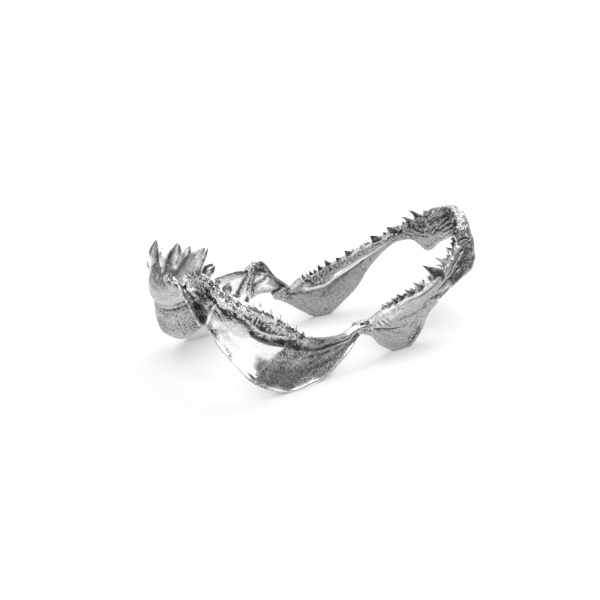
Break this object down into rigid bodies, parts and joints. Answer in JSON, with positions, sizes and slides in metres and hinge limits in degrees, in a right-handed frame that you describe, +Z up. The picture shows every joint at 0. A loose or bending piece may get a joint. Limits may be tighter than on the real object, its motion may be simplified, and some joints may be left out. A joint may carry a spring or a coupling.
{
  "type": "shark jaw",
  "caption": "Cast metal shark jaw lying open as a ring: lower and upper jaw joined at the hinges, rows of teeth pointing up, resting on its deep blades.",
  "frame": {"origin": "on the floor, under the middle of the bounding box", "axes": "+X from the chin of the lower jaw to the front of the upper jaw, +Y to the animal's right, +Z up, the way the teeth point"},
  "size_m": [0.1014, 0.0474, 0.035],
  "materials": {
    "cast_metal": "cast silver-coloured metal, polished bright on edges and high places, oxidised dark in the hollows and between the teeth"
  },
  "bodies": {
    "root": {"lower_symphysis": "cast_metal", "lower_jaw_left": "cast_metal", "lower_jaw_right": "cast_metal", "jaw_joint_left": "cast_metal", "jaw_joint_right": "cast_metal", "upper_jaw_left": "cast_metal", "upper_jaw_right": "cast_metal", "orbital_process_left": "cast_metal", "orbital_process_right": "cast_metal", "upper_symphysis": "cast_metal"}
  },
  "joints": []
}
